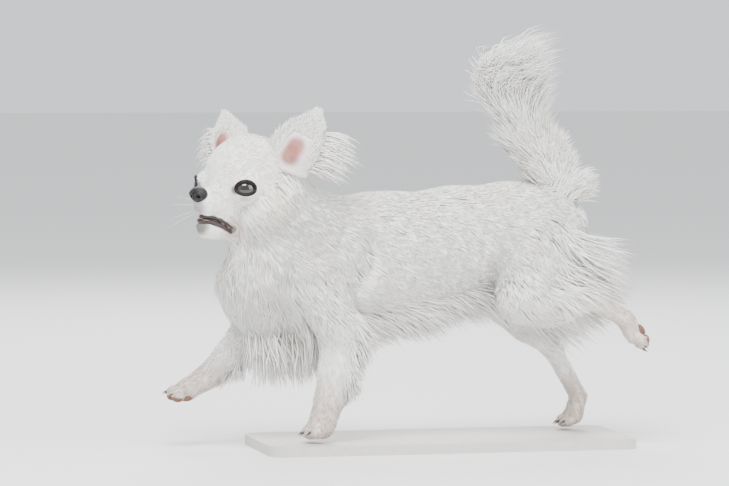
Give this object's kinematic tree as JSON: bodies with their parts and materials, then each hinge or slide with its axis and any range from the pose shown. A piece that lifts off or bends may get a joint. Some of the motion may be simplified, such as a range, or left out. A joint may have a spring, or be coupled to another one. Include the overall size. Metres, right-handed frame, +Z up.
{
  "type": "long-haired chihuahua figure",
  "caption": "Life-size white long-haired chihuahua in a canter with a plumed tail, standing on a flat display base.",
  "frame": {"origin": "centre of the display base's underside", "axes": "+Z up, -X the way the dog faces, -Y its left side"},
  "size_m": [0.3794, 0.1341, 0.3469],
  "materials": {
    "coat": "long soft hair",
    "nose": "moist, pebbled",
    "eye": "wet and clear",
    "tongue": "moist",
    "pad": "matt, rough",
    "base": "plain satin paint"
  },
  "bodies": {
    "root": {"torso": "coat", "neck": "coat", "head": "coat", "nose": "nose", "eye_left": "eye", "eye_right": "eye", "ear_left": "coat", "ear_right": "coat", "tail": "coat", "front_left_leg": "coat", "front_left_paw": "coat", "front_right_leg": "coat", "front_right_paw": "coat", "hind_left_leg": "coat", "hind_left_paw": "coat", "hind_right_leg": "coat", "hind_right_paw": "coat", "stand_base": "base"}
  },
  "joints": []
}
